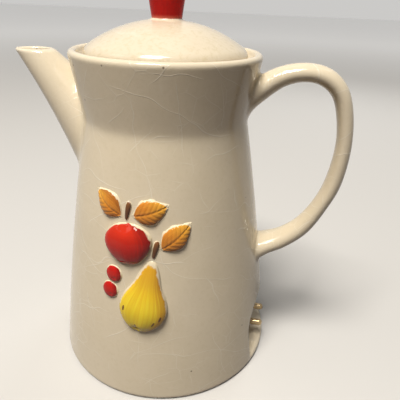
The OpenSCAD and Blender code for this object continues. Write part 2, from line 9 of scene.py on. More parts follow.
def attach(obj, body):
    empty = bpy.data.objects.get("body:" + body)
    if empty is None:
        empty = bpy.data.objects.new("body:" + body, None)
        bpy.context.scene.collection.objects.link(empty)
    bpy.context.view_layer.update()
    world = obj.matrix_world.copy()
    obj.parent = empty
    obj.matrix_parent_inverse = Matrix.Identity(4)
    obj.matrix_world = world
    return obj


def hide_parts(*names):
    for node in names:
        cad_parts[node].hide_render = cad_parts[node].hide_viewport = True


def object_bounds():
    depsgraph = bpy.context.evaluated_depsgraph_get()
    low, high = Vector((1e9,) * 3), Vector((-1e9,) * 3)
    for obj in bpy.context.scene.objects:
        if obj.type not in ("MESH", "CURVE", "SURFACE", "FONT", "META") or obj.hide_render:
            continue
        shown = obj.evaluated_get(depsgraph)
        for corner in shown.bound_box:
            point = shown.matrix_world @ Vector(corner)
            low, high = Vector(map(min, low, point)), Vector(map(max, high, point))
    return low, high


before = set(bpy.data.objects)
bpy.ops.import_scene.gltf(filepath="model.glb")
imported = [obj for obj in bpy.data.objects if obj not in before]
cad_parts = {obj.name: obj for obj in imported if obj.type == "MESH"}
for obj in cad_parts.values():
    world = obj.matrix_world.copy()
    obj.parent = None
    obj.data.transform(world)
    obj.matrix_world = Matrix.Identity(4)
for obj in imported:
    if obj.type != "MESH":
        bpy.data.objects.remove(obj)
cad_box = [list(v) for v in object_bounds()]
MM = 0.001

# ---- sizes of the pot, in millimetres ------------------------------------------------------
# They follow the part's source. Names that end in Z are heights above the table.

BODY_H, RIM_R, WAIST_Z, WAIST_R, BASE_R = 206, 56.5, 167, 50.4, 76
WALL_BOW, WAIST_BLEND, WALL, LIP_T = 1.7, 1.0, 4.5, 5.0
FOOT_ROUND, FOOT_RING_W, FOOT_LIP_H, DRY_H, FLOOR_T, FLOOR_ROUND = 2.5, 5.5, 6, 48, 5, 8
SEAT_DROP, LID_R, LID_GAP, SEAT_W, LEDGE_H, LEDGE_SLOPE_H = 6.5, 48, 1, 3.6, 4, 6.5
CROWN_R, LID_EDGE_R, LID_RISE, LID_T, RING_H, RING_T = 80, 7, 22.8, 4, 11, 3.5
VENT_R, VENT_POS = 1.8, 25
KNOB_H, KNOB_FOOT_R, KNOB_TOP_R, KNOB_ROUND, KNOB_DOME = 26, 8.8, 12, 2.6, 1.4
SPOUT_REACH, MOUTH_DROP, SPOUT_TILT, MOUTH_R = 86.5, 3.5, math.radians(40.5), 9.2
SPOUT_TAPER, SPOUT_BOW, SPOUT_WALL, SPOUT_LEN = math.radians(13.2), 1.7, 2.6, 80
THROAT_R, THROAT_DROP = 14, 11
HANDLE_REACH, HANDLE_TOP_DROP, HANDLE_ROOT_DROP, HANDLE_LOW_Z = 109, 8.5, 24, 81
HANDLE_T, HANDLE_W = 9.4, 15
RELIEF_Z, RELIEF_DEPTH = 93, 0.42
POCKET_X, POCKET_HALF_W, POCKET_FLOOR, POCKET_TOP, POCKET_ROUND, POCKET_WALL = 59, 30, 5, 44, 20, 4
PLATE_TOP, LUG_R, LUG_PCD_R, LUG_TOP = 4.2, 5.2, 54, 41.3

LIP_Z = BODY_H - LIP_T / 2
SEAT_Z = BODY_H - SEAT_DROP
SEAT_IN_R = LID_R - SEAT_W
FLOOR_Z = DRY_H + FLOOR_T
MOUTH_Z = BODY_H - MOUTH_DROP
CROWN_Z = SEAT_Z + LID_RISE
THROAT_Z = MOUTH_Z - (SPOUT_REACH - WAIST_R) / math.tan(SPOUT_TILT) - THROAT_DROP

# ---- forms as distance fields --------------------------------------------------------------


def outer_r(z):
    """The outside's radius: a bowed cone up to the waist, blended into the flared collar."""
    t = (z - FOOT_ROUND) / (WAIST_Z - FOOT_ROUND)
    a = BASE_R + (WAIST_R - BASE_R) * t + 4 * WALL_BOW * t * (1 - t)
    b = WAIST_R + (RIM_R - WAIST_R) * (z - WAIST_Z) / (LIP_Z - WAIST_Z)
    return (a + b + np.sqrt((a - b) ** 2 + WAIST_BLEND**2)) / 2


def arc(cx, cy, r, start, end, n=16):
    """Points round a circle, from one angle to another in degrees."""
    a = np.radians(np.linspace(start, end, n + 1))
    return np.stack([cx + r * np.cos(a), cy + r * np.sin(a)], 1)


def wall_line(z0, z1, inset=0.0):
    """Points up or down the wall, about one to a millimetre."""
    z = np.linspace(z0, z1, max(2, int(abs(z1 - z0))))
    return np.stack([outer_r(z) - inset, z], 1)


# Closed outlines cross the axis, so that the axis itself is not an edge
PAST_AXIS = -20.0


def body_outside():
    """From the foot's underside up to the lip, as radius and height."""
    foot_r = BASE_R - FOOT_ROUND
    lip_r = outer_r(LIP_Z) - LIP_T / 2
    return np.vstack([
        arc(foot_r, FOOT_ROUND, FOOT_ROUND, -90, 0),
        wall_line(FOOT_ROUND + 0.5, LIP_Z - 0.5),
        arc(lip_r, LIP_Z, LIP_T / 2, 0, 180)])


def body_section():
    """The outside, lip, lid's seat, vessel, floor, dry chamber and foot ring."""
    foot_in = BASE_R - FOOT_ROUND - FOOT_RING_W
    corner_z = FLOOR_Z + FLOOR_ROUND
    return np.vstack([
        body_outside(),
        [[LID_R + LID_GAP, SEAT_Z], [SEAT_IN_R, SEAT_Z], [SEAT_IN_R, SEAT_Z - LEDGE_H]],
        wall_line(SEAT_Z - LEDGE_H - LEDGE_SLOPE_H, corner_z + 0.5, WALL),
        arc(outer_r(corner_z) - WALL - FLOOR_ROUND, corner_z, FLOOR_ROUND, 0, -90),
        [[PAST_AXIS, FLOOR_Z], [PAST_AXIS, DRY_H]],
        wall_line(DRY_H, 2 * FOOT_LIP_H, WALL),
        [[foot_in, FOOT_LIP_H], [foot_in, 0]]])


def envelope_section():
    """The body as if it were solid, which the spout and the handle stop at."""
    return np.vstack([body_outside(), [[PAST_AXIS, LIP_Z + LIP_T / 2], [PAST_AXIS, 0]]])


def lid_section():
    """The lid's dome with its rolled edge, hollow underside and locating ring."""
    edge = LID_R - LID_EDGE_R
    end = math.degrees(math.asin(edge / (CROWN_R - LID_EDGE_R)))
    edge_z = CROWN_Z - CROWN_R + (CROWN_R - LID_EDGE_R) * math.cos(math.radians(end))
    ring_out = SEAT_IN_R - LID_GAP
    ring_in = ring_out - RING_T
    hollow = CROWN_R - LID_T
    under_end = 90 - math.degrees(math.asin(ring_in / hollow))
    return np.vstack([
        [[LID_R, SEAT_Z]],
        arc(edge, edge_z, LID_EDGE_R, 0, 90 - end),
        arc(0, CROWN_Z - CROWN_R, CROWN_R, 90 - end + 1, 94, 40),
        arc(0, CROWN_Z - CROWN_R, hollow, 94, under_end, 40),
        [[ring_in, SEAT_Z - RING_H], [ring_out - 1, SEAT_Z - RING_H],
         [ring_out, SEAT_Z - RING_H + 1], [ring_out, SEAT_Z]]])


def polygon_distance(r, z, poly):
    """Signed distance to a closed outline, negative inside."""
    best = np.full(r.shape, 1e9)
    inside = np.zeros(r.shape, bool)
    for (ar, az), (br, bz) in zip(poly, np.roll(poly, -1, 0)):
        dr, dz = br - ar, bz - az
        size = dr * dr + dz * dz
        if size < 1e-12:
            continue
        t = np.clip(((r - ar) * dr + (z - az) * dz) / size, 0, 1)
        best = np.minimum(best, (r - ar - t * dr) ** 2 + (z - az - t * dz) ** 2)
        if az != bz:
            crosses = (az > z) != (bz > z)
            inside ^= crosses & (r < ar + (z - az) * dr / dz)
    return np.where(inside, -1, 1) * np.sqrt(best)


class Section:
    """A section turned about the pot's axis, kept as a table that softens its edges a little."""

    step = 0.25

    def __init__(self, poly, soft):
        lo, hi = poly.min(0) - 6, poly.max(0) + 6
        self.r0, self.z0 = -3.0, lo[1]
        r = np.arange(self.r0, hi[0], self.step)
        z = np.arange(self.z0, hi[1], self.step)
        grid = polygon_distance(*np.meshgrid(r, z, indexing="ij"), poly)
        reach = int(3 * soft / self.step) + 1
        kernel = np.exp(-0.5 * (np.arange(-reach, reach + 1) * self.step / soft) ** 2)
        kernel /= kernel.sum()
        for axis in (0, 1):
            pad = [(reach, reach) if a == axis else (0, 0) for a in (0, 1)]
            grid = np.apply_along_axis(np.convolve, axis, np.pad(grid, pad, "edge"), kernel, "valid")
        self.grid = grid

    def __call__(self, p):
        r = np.hypot(p[:, 0], p[:, 1])
        u = np.clip((r - self.r0) / self.step, 0, self.grid.shape[0] - 1.001)
        v = np.clip((p[:, 2] - self.z0) / self.step, 0, self.grid.shape[1] - 1.001)
        i, j = u.astype(int), v.astype(int)
        u, v = u - i, v - j
        g = self.grid
        return ((g[i, j] * (1 - u) + g[i + 1, j] * u) * (1 - v)
                + (g[i, j + 1] * (1 - u) + g[i + 1, j + 1] * u) * v)


def join(a, b, k):
    """Union with a fillet that reaches about k from the corner."""
    h = np.maximum(k - np.abs(a - b), 0) / k
    return np.minimum(a, b) - h * h * k / 4


def cut(a, b, k):
    """a without b, with the new edge rounded."""
    return -join(-a, b, k)


EDGE_SOFT = 0.5
body_table = Section(body_section(), EDGE_SOFT)
envelope = Section(envelope_section(), EDGE_SOFT)
lid_table = Section(lid_section(), EDGE_SOFT)


def box_distance(y, z, half, low, high):
    """Signed distance to a rectangle in the YZ plane."""
    dy, dz = np.abs(y) - half, np.abs(z - (low + high) / 2) - (high - low) / 2
    return np.hypot(np.maximum(dy, 0), np.maximum(dz, 0)) + np.minimum(np.maximum(dy, dz), 0)


def pocket(p, x0, grow):
    """The arched inlet pocket from x0 outwards, grown by the thickness of its wall or by nothing."""
    x, y, z = p.T
    w, r = POCKET_HALF_W + grow, POCKET_ROUND + grow
    low, top = POCKET_FLOOR - grow, POCKET_TOP + grow
    arch = np.hypot(np.abs(y) - (w - r), z - (top - r)) - r
    sides = box_distance(y, z, w, low, top - r)
    crown = box_distance(y, z, w - r, low, top)
    return np.maximum(np.minimum(np.minimum(sides, crown), arch), x0 - x)


LUG_ANGLES = np.radians([60, 180, 300])
LUG_WEB_W, LUG_FILLET = 7, 1.5
FAR_OFF = 30.0


def lug_distance(p):
    """The three screw lugs, each with a web to the wall."""
    best = np.full(len(p), FAR_OFF)
    for angle in LUG_ANGLES:
        u = p[:, 0] * math.cos(angle) + p[:, 1] * math.sin(angle)
        v = -p[:, 0] * math.sin(angle) + p[:, 1] * math.cos(angle)
        post = np.hypot(u - LUG_PCD_R, v) - LUG_R
        web = np.maximum(np.abs(v) - LUG_WEB_W / 2, LUG_PCD_R - u)
        best = np.minimum(best, join(post, web, LUG_FILLET))
    return np.maximum(best, np.maximum(PLATE_TOP - p[:, 2], p[:, 2] - LUG_TOP))


SPOUT_END, SPOUT_EDGE, MOUTH_EDGE = 86, 0.8, 2.2
SPOUT_AXIS = np.array([math.sin(SPOUT_TILT), 0, -math.cos(SPOUT_TILT)])
MOUTH = np.array([-SPOUT_REACH, 0, MOUTH_Z])


def spout_distance(p, env):
    """A hollow cone, a little concave, cut level at the mouth and stopped at the body."""
    q = p - MOUTH
    d = q @ SPOUT_AXIS
    rho = np.sqrt(np.maximum((q * q).sum(1) - d * d, 0))
    t = d / SPOUT_LEN
    slope = math.tan(SPOUT_TAPER) - 4 * SPOUT_BOW / SPOUT_LEN * (1 - 2 * t)
    out = (rho - MOUTH_R - d * math.tan(SPOUT_TAPER) + 4 * SPOUT_BOW * t * (1 - t)) / np.sqrt(1 + slope**2)
    shell = cut(out, out + SPOUT_WALL, SPOUT_EDGE)
    shell = cut(shell, MOUTH_Z - p[:, 2], MOUTH_EDGE)
    return np.maximum(np.maximum(shell, -env), d - SPOUT_END)


# Along the handle: its place out from the wall and up, as shares of its reach and height, and
# its thickness and width, as shares of HANDLE_T and HANDLE_W
HANDLE_SHAPE = np.array([
    [-0.250, 0.786, 2.10, 1.60], [0.000, 0.885, 1.59, 1.35], [0.276, 0.974, 1.24, 1.10],
    [0.545, 1.001, 1.11, 1.00], [0.771, 0.968, 1.11, 0.98], [0.924, 0.871, 1.04, 0.95],
    [1.010, 0.669, 1.00, 0.93], [0.981, 0.450, 1.09, 0.93], [0.861, 0.291, 1.08, 0.95],
    [0.660, 0.153, 1.26, 1.04], [0.372, 0.059, 1.39, 1.20], [0.071, 0.006, 1.55, 1.55],
    [-0.237, -0.069, 2.30, 2.00]])


def smooth_line(points, u):
    """Catmull-Rom curve through points, at parameters u."""
    n = len(points) - 1
    i = np.minimum(np.floor(u).astype(int), n - 1)
    f = (u - i)[:, None]
    a, b, c, d = (points[np.clip(i + k, 0, n)] for k in (-1, 0, 1, 2))
    return 0.5 * (2 * b + (c - a) * f + (2 * a - 5 * b + 4 * c - d) * f**2 + (3 * b - a - 3 * c + d) * f**3)


def handle_line(steps=150):
    """Places and half sizes along the handle. Its low end follows the wall's lean."""
    root_x, top_z = outer_r(BODY_H - HANDLE_ROOT_DROP), BODY_H - HANDLE_TOP_DROP
    lean = outer_r(HANDLE_LOW_Z) - root_x
    s = HANDLE_SHAPE
    low = np.maximum(0, 1 - s[:, 1] * 2.2) * np.maximum(0, 1 - np.maximum(s[:, 0], 0))
    path = np.stack([root_x + (HANDLE_REACH - root_x) * s[:, 0] + lean * low,
                     HANDLE_LOW_Z + (top_z - HANDLE_LOW_Z) * s[:, 1],
                     s[:, 2] * HANDLE_T / 2, s[:, 3] * HANDLE_W / 2], 1)
    return smooth_line(path, np.linspace(0, len(path) - 1, steps + 1))


HANDLE = handle_line()
POINTS_AT_ONCE = 20000


def handle_distance(p):
    """Distance to the nearest section's ellipse, from its implicit form over its slope."""
    a, b = HANDLE[:-1], HANDLE[1:]
    e = b[:, :2] - a[:, :2]
    length2 = (e * e).sum(1)
    out = np.empty(len(p))
    for k in range(0, len(p), POINTS_AT_ONCE):
        q = p[k:k + POINTS_AT_ONCE]
        dx = q[:, 0, None] - a[:, 0]
        dz = q[:, 2, None] - a[:, 1]
        t = np.clip((dx * e[:, 0] + dz * e[:, 1]) / length2, 0, 1)
        away2 = (dx - t * e[:, 0]) ** 2 + (dz - t * e[:, 1]) ** 2
        i = away2.argmin(1)
        row = np.arange(len(q))
        s, size = np.sqrt(away2[row, i]), a[i, 2:] + (b - a)[i, 2:] * t[row, i][:, None]
        y = np.abs(q[:, 1])
        share = np.hypot(s / size[:, 0], y / size[:, 1])
        slope = np.hypot(s / size[:, 0] ** 2, y / size[:, 1] ** 2)
        out[k:k + POINTS_AT_ONCE] = share * (share - 1) / np.maximum(slope, 1e-6)
    return out


# Fillets where the spout and the handle are luted on; the handle's is wider at the upper root
SPOUT_FILLET, LOW_FILLET, HIGH_FILLET = 3.0, 2.4, 3.4
FILLET_FROM_Z, FILLET_TO_Z = 110, 150
POCKET_EDGE, THROAT_EDGE, INNER_FILLET = 3.0, 2.0, 1.0


def where_near(p, near, distance, *more):
    """The distance where near holds, and a large value elsewhere."""
    out = np.full(len(p), FAR_OFF)
    if near.any():
        out[near] = distance(p[near], *(m[near] for m in more))
    return out


def pot_form(p):
    """The glazed pot: body, inlet pocket, lugs, throat, spout and handle in one skin."""
    x, y, z = p.T
    env = envelope(p)
    f = body_table(p)
    low = z < DRY_H + 6
    if low.any():
        q = p[low]
        inner = np.minimum(pocket(q, POCKET_X - POCKET_WALL, POCKET_WALL), lug_distance(q))
        # The inner walls end a fillet's reach under the outside, which stays as smooth as it was
        g = join(f[low], np.maximum(inner, env[low] + INNER_FILLET), INNER_FILLET)
        f[low] = cut(g, pocket(q, POCKET_X, 0), POCKET_EDGE)
    throat = np.maximum(np.hypot(y, z - THROAT_Z) - THROAT_R, x)
    f = cut(f, throat, THROAT_EDGE)
    # The spout and the handle are worked out only in a box round each
    spout = where_near(p, (x < -20) & (z > 100) & (np.abs(y) < 50), spout_distance, env)
    f = join(f, spout, SPOUT_FILLET)
    grip = where_near(p, (x > 30) & (z > 55) & (np.abs(y) < 28), handle_distance)
    fillet = np.interp(z, [FILLET_FROM_Z, FILLET_TO_Z], [LOW_FILLET, HIGH_FILLET])
    return join(f, np.maximum(grip, -env), fillet)


KNOB_SUNK, KNOB_LID_FILLET, VENT_EDGE = 2.2, 2.4, 1.0


def knob_profile():
    """The knob's outline from its foot, sunk in the lid, to the middle of its top."""
    top, edge = CROWN_Z + KNOB_H, KNOB_TOP_R - KNOB_ROUND
    foot = CROWN_Z - KNOB_SUNK
    return np.vstack([
        [[0, foot], [KNOB_FOOT_R - 0.6, foot], [KNOB_FOOT_R, foot + 1.0], [KNOB_FOOT_R, CROWN_Z + 0.5]],
        arc(edge, top - KNOB_DOME - KNOB_ROUND, KNOB_ROUND, -8, 90, 10),
        [[edge * 0.6, top - 0.3 * KNOB_DOME], [edge * 0.25, top - 0.05 * KNOB_DOME], [0, top]]])


def lid_form(p):
    """The lid with a low stub that the knob stands on, and its steam vent."""
    r = np.hypot(p[:, 0], p[:, 1])
    f = lid_table(p)
    rise = p[:, 2] - CROWN_Z
    stub = np.maximum(r - KNOB_FOOT_R - 0.12 * rise + 0.5, np.abs(rise - 0.5) - 0.8)
    f = join(f, stub, KNOB_LID_FILLET)
    vent = np.maximum(np.hypot(p[:, 0], p[:, 1] - VENT_POS) - VENT_R, SEAT_Z - p[:, 2])
    return cut(f, vent, VENT_EDGE)


# ---- from distance fields to meshes --------------------------------------------------------


def surface_net(form, lo, hi, step):
    """Vertices and quads of the surface where form is zero."""
    axes = [np.arange(a, b + step, step) for a, b in zip(lo, hi)]
    shape = tuple(len(a) for a in axes)
    grid = np.empty(shape, np.float32)
    yy, zz = (g.ravel() for g in np.meshgrid(axes[1], axes[2], indexing="ij"))
    for i, x in enumerate(axes[0]):
        grid[i] = form(np.stack([np.full(yy.size, x), yy, zz], 1)).reshape(shape[1:])
    solid = grid < 0
    nx, ny, nz = (n - 1 for n in shape)
    corner = [(i, j, k) for i in (0, 1) for j in (0, 1) for k in (0, 1)]
    count = sum(solid[i:i + nx, j:j + ny, k:k + nz].astype(np.int8) for i, j, k in corner)
    cells = np.argwhere((count > 0) & (count < 8))
    number = np.full((nx, ny, nz), -1)
    number[tuple(cells.T)] = np.arange(len(cells))
    total, hits = np.zeros((len(cells), 3)), np.zeros(len(cells))
    for a in corner:
        for axis in range(3):
            if a[axis]:
                continue
            b = tuple(v + (n == axis) for n, v in enumerate(a))
            fa = grid[tuple((cells + a).T)]
            fb = grid[tuple((cells + b).T)]
            hit = (fa < 0) != (fb < 0)
            t = np.where(hit, fa / np.where(hit, fa - fb, 1), 0)
            place = np.array(a, float) + t[:, None] * (np.array(b) - a)
            total += place * hit[:, None]
            hits += hit
    verts = (cells + total / hits[:, None]) * step + lo
    quads = []
    for axis in range(3):
        u, v = (axis + 1) % 3, (axis + 2) % 3
        near, past = [slice(1, -1)] * 3, [slice(1, -1)] * 3
        near[axis], past[axis] = slice(None, -1), slice(1, None)
        change = solid[tuple(near)] != solid[tuple(past)]
        edges = np.argwhere(change)
        edges[:, u] += 1
        edges[:, v] += 1
        ring = []
        for du, dv in ((0, 0), (1, 0), (1, 1), (0, 1)):
            c = edges.copy()
            c[:, u] -= du
            c[:, v] -= dv
            ring.append(number[tuple(c.T)])
        ring = np.stack(ring, 1)
        flip = solid[tuple(edges.T)]
        ring[~flip] = ring[~flip][:, ::-1]
        quads.append(ring)
    return verts, np.vstack(quads)


def gradient(form, p, eps=0.25):
    """Central differences of the form along each axis."""
    g = np.empty_like(p)
    for axis in range(3):
        d = np.zeros(3)
        d[axis] = eps
        g[:, axis] = (form(p + d) - form(p - d)) / (2 * eps)
    return g


def settle(form, p, rounds=2, most=0.6):
    """Moves the vertices onto the surface, by no more than most in a round."""
    for _ in range(rounds):
        g = gradient(form, p)
        move = form(p)[:, None] * g / np.maximum((g * g).sum(1), 0.05)[:, None]
        size = np.linalg.norm(move, axis=1)
        p = p - move * np.minimum(1, most / np.maximum(size, 1e-9))[:, None]
    return p


def hollow_measure(form, p, reach=2.5):
    """Positive in hollows and negative on edges, for the way glaze pools and thins."""
    total = -6 * form(p)
    for axis in range(3):
        d = np.zeros(3)
        d[axis] = reach
        total += form(p + d) + form(p - d)
    return -total / reach


def refine(verts, faces, chosen):
    """Splits the chosen faces in four, so that tight curves there get enough of them."""
    bm = bmesh.new()
    for v in verts:
        bm.verts.new(v)
    bm.verts.ensure_lookup_table()
    made = [bm.faces.new([bm.verts[i] for i in f]) for f in faces]
    edges = {e for f, pick in zip(made, chosen) if pick for e in f.edges}
    bmesh.ops.subdivide_edges(bm, edges=list(edges), cuts=1, use_grid_fill=True)
    bm.verts.index_update()
    out = np.array([v.co for v in bm.verts])
    polys = [[v.index for v in f.verts] for f in bm.faces]
    bm.free()
    return out, polys


def make_piece(name, verts, faces, body="pot", slot=None, replaces=(), marks=None):
    """A mesh piece from points in millimetres, with optional point marks for its material."""
    mesh = bpy.data.meshes.new(name)
    mesh.from_pydata((np.asarray(verts) * MM).tolist(), [], [list(map(int, f)) for f in faces])
    mesh.validate()
    mesh.polygons.foreach_set("use_smooth", [True] * len(mesh.polygons))
    for key, values in (marks or {}).items():
        mesh.attributes.new(key, "FLOAT", "POINT").data.foreach_set("value", np.asarray(values, np.float32))
    obj = bpy.data.objects.new(name, mesh)
    bpy.context.collection.objects.link(obj)
    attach(obj, body)
    if replaces:
        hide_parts(*replaces)
    return obj


def field_piece(name, form, lo, hi, step, fine, **how):
    """A piece from a distance field, with smaller faces where fine says so."""
    verts, faces = surface_net(form, np.array(lo, float), np.array(hi, float), step)
    verts = settle(form, verts)
    if fine is not None:
        verts, faces = refine(verts, faces, fine(verts[faces].mean(1)))
        verts = settle(form, verts)
    marks = {"pool": hollow_measure(form, verts)}
    # Nothing reaches past the CAD model
    verts = np.clip(verts, *(np.array(cad_box) / MM))
    return make_piece(name, verts, faces, marks=marks, **how)


def pot_detail(c):
    """Where the pot's faces are split: its rim, spout, waist, handle roots, inlet and foot."""
    x, y, z = c.T
    rim = z > SEAT_Z - 6
    spout = (x < -42) & (np.abs(y) < 32) & (z > 104)
    waist = np.abs(z - WAIST_Z) < 4
    roots = (x > 40) & (np.abs(y) < 26) & (z > HANDLE_LOW_Z - 26)
    inlet = (x > POCKET_X - 2) & (np.abs(y) < POCKET_HALF_W + 8) & (z < POCKET_TOP + 8)
    return rim | spout | waist | roots | inlet | (z < 4)


# The grids' steps, and the corners of the boxes that they fill
POT_STEP = 1.5
LID_STEP = POT_STEP * 0.8
POT_BOX = [-102, -79, -3], [118, 79, 209]
LID_BOX = [-51, -51, 185], [51, 51, 226]
pot = field_piece("glazed_pot", pot_form, *POT_BOX, POT_STEP, pot_detail,
                  slot="cream_glaze", replaces=("pot_body", "pot_skirt", "spout", "handle"))
lid = field_piece("glazed_lid", lid_form, *LID_BOX, LID_STEP, None,
                  body="lid", slot="cream_glaze", replaces=("lid",))

# ---- turned and raised pieces --------------------------------------------------------------


def skin(rings):
    """Faces over equal rings of points, closed at both ends."""
    rings = np.asarray(rings)
    m, n = rings.shape[:2]
    faces = [[i * n + j, i * n + (j + 1) % n, (i + 1) * n + (j + 1) % n, (i + 1) * n + j]
             for i in range(m - 1) for j in range(n)]
    faces.append(list(range(n))[::-1])
    faces.append([(m - 1) * n + j for j in range(n)])
    return rings.reshape(-1, 3), faces


def resample(line, step):
    """Points along a line at even steps, with its corners kept soft."""
    seg = np.linalg.norm(np.diff(line, axis=0), axis=1)
    run = np.concatenate([[0], np.cumsum(seg)])
    at = np.linspace(0, run[-1], max(3, int(run[-1] / step)))
    return np.stack([np.interp(at, run, line[:, k]) for k in range(line.shape[1])], 1)


def turned(profile, sides=96):
    """Rings of points: a profile of radius and height, turned about the pot's axis."""
    a = np.linspace(0, 2 * np.pi, sides, endpoint=False)
    return [np.stack([r * np.cos(a), r * np.sin(a), np.full(sides, z)], 1) for r, z in profile]


# The knob is a little out of round, as a hand-finished casting is
knob_line = resample(knob_profile(), 0.6)
knob_line[:, 0] = np.maximum(knob_line[:, 0], 0.05)
knob_verts, knob_faces = skin(turned(knob_line))
swirl = np.arctan2(knob_verts[:, 1], knob_verts[:, 0])
height = (knob_verts[:, 2] - CROWN_Z) / KNOB_H
hand = 1 + 0.006 * np.sin(2 * swirl + 1.3) * height + 0.004 * np.sin(3 * swirl + 5 * height)
knob_verts[:, :2] *= hand[:, None]
knob = make_piece("red_knob", knob_verts, knob_faces, "lid", "red_glaze", ("lid_knob",),
                  {"rise": height})


def on_wall(u, v, h):
    """Points u round the wall, v above the sprig's middle and h out from the wall."""
    z = RELIEF_Z + v
    r = outer_r(z)
    d = r + 0.05 + h
    return np.stack([d * np.sin(u / r), -d * np.cos(u / r), z], -1)


def relief(at, turn, length, shape, ends=1, depth=RELIEF_DEPTH, detail=None, along=90, across=40):
    """Verts, faces and marks of one raised piece: shape is its half width at even steps.

    detail shifts its height by place: u runs across it from -1 to 1 and t along it from 0 to 1,
    uu and s are the same in millimetres from its middle, and h is its height from 0 to 1.
    """
    shape = np.array(shape, float)[:, None]
    t = (1 - np.cos(np.pi * np.linspace(0, 1, along + 1))) / 2
    bow = np.sin(np.pi * np.linspace(0, 1, along + 1)) ** ends
    width = smooth_line(shape, (len(shape) - 1) * t)[:, 0] * bow
    a = np.linspace(0, np.pi, across + 1)
    side = np.cos(a)
    rise = np.sin(a) ** 0.8
    # The edge flares into the wall, as slip does where a sprig is stuck on
    u = np.concatenate([[1.0], side, [-1.0], [-0.9, 0.9]])
    h = np.concatenate([[0.0], rise, [0.0], [0.0, 0.0]])
    flare = np.concatenate([[0.9], np.zeros(across + 1), [-0.9], [0.0, 0.0]])
    sink = np.concatenate([[-0.12], np.zeros(across + 1), [-0.12], [-0.7, -0.7]])
    w = np.maximum(width, 0.5)[:, None]
    s = (length * (t - 0.5))[:, None] + 0 * w
    uu = w * u + flare
    top = np.maximum(width, 0.3)[:, None] * depth
    hh = top * h + sink
    if detail is not None:
        shift = detail(u[None, :] + 0 * w, t[:, None] + 0 * u, uu, s + 0 * u, h[None, :])
        hh = hh + np.where(h > 0, shift, 0)
    c, k = math.cos(math.radians(turn)), math.sin(math.radians(turn))
    rings = on_wall(at[0] + uu * c - s * k, at[1] + uu * k + s * c, hh)
    marks = {"rise": (h[None, :] * np.minimum(1, width[:, None] / width.max() * 1.6)).ravel(),
             "across": (u[None, :] + 0 * w).ravel(), "along": (t[:, None] + 0 * u).ravel()}
    return *skin(rings), marks


def gather(parts):
    """One mesh and one set of marks from several."""
    verts, faces, marks, start = [], [], {}, 0
    for v, f, m in parts:
        verts.append(v)
        faces += [[i + start for i in g] for g in f]
        for key, values in m.items():
            marks.setdefault(key, []).append(values)
        start += len(v)
    return np.vstack(verts), faces, {k: np.concatenate(v) for k, v in marks.items()}


def dent(a, b, size):
    """A soft round hollow of depth 1, a and b from its middle."""
    return np.exp(-((a / size[0]) ** 2) - (b / size[1]) ** 2)


def pear_detail(u, t, uu, s, h):
    eye = dent(uu + 1.0, s + 20.3, (2.2, 1.8))
    petals = 0.25 * np.cos(5 * np.arctan2(s + 20.3, uu + 1.0)) * eye
    side = 0.25 * np.sin(2.4 * np.pi * u + 0.6) * (1 - t) * h
    return -1.1 * eye + petals + side


def apple_detail(u, t, uu, s, h):
    stalk_hollow = -1.6 * dent(uu - 0.6, s - 10.6, (3.4, 2.4))
    eye = -0.6 * dent(uu, s + 11.2, (1.8, 1.2))
    return stalk_hollow + eye + 0.18 * np.cos(7 * u) * h


def leaf_detail(u, t, uu, s, h):
    rib = -0.55 * np.exp(-((uu / 0.45) ** 2)) * np.minimum(1, 6 * t) * np.minimum(1, 8 * (1 - t))
    lean = (s - np.abs(uu) * 0.9) / 3.1
    vein = -0.32 * np.exp(-(((lean - np.round(lean)) / 0.12) ** 2))
    vein = vein * np.minimum(1, np.abs(uu) * 1.5) * (h > 0.2)
    return rib + vein + 0.22 * np.sin(s * 0.9 + np.sign(u)) * (1 - h)


def berry_detail(u, t, uu, s, h):
    return -0.5 * dent(uu - 1.2, s + 2.0, (0.8, 0.8))


def stem_detail(u, t, uu, s, h):
    return 0.12 * np.sin(3 * u + 4 * t) * h


# Half widths, and then each piece's place on the wall, turn in degrees and length
PEAR = [15.5, 16.2, 15.4, 12.4, 8.8, 7.6, 7.2]
APPLE = [11.5, 12.8, 14.2, 14.8, 14]
LEAF = [6.4, 7.4, 6.4, 5.2]
BERRY = [5.2, 5.2]
STEM = [1.6, 1.4, 1.7, 2.3]
LEAVES = [(20, 20.2, -48, 23), (-20.2, 36, 56, 22), (5.2, 34.6, -70, 22)]
BERRIES = [(-16.4, -6.2), (-19, -17.2)]
STEMS = [(-7.8, 33.9, -10, 11), (8.65, 12.7, -12, 11)]

sprig = {
    "relief_pear": [relief((3.5, -17.5), -9, 47, PEAR, detail=pear_detail)],
    "relief_apple": [relief((-7.5, 14.5), 7, 25, APPLE, detail=apple_detail, along=70)],
    "relief_leaves": [relief(p[:2], p[2], p[3], LEAF, 2, detail=leaf_detail) for p in LEAVES],
    "relief_berries": [relief(p, 0, 10.4, BERRY, detail=berry_detail, along=36, across=26) for p in BERRIES],
    "relief_stems": [relief(p[:2], p[2], p[3], STEM, depth=0.9, detail=stem_detail, along=30, across=12)
                     for p in STEMS],
}
paints = {"relief_pear": "yellow_glaze", "relief_apple": "red_glaze", "relief_leaves": "amber_glaze",
          "relief_berries": "red_glaze", "relief_stems": "brown_glaze"}
raised = {}
for node_name, parts in sprig.items():
    verts, faces, marks = gather(parts)
    piece_name = node_name.replace("relief", "sprig")
    raised[node_name] = make_piece(piece_name, verts, faces, "pot", paints[node_name], (node_name,), marks)

# ---- materials -----------------------------------------------------------------------------


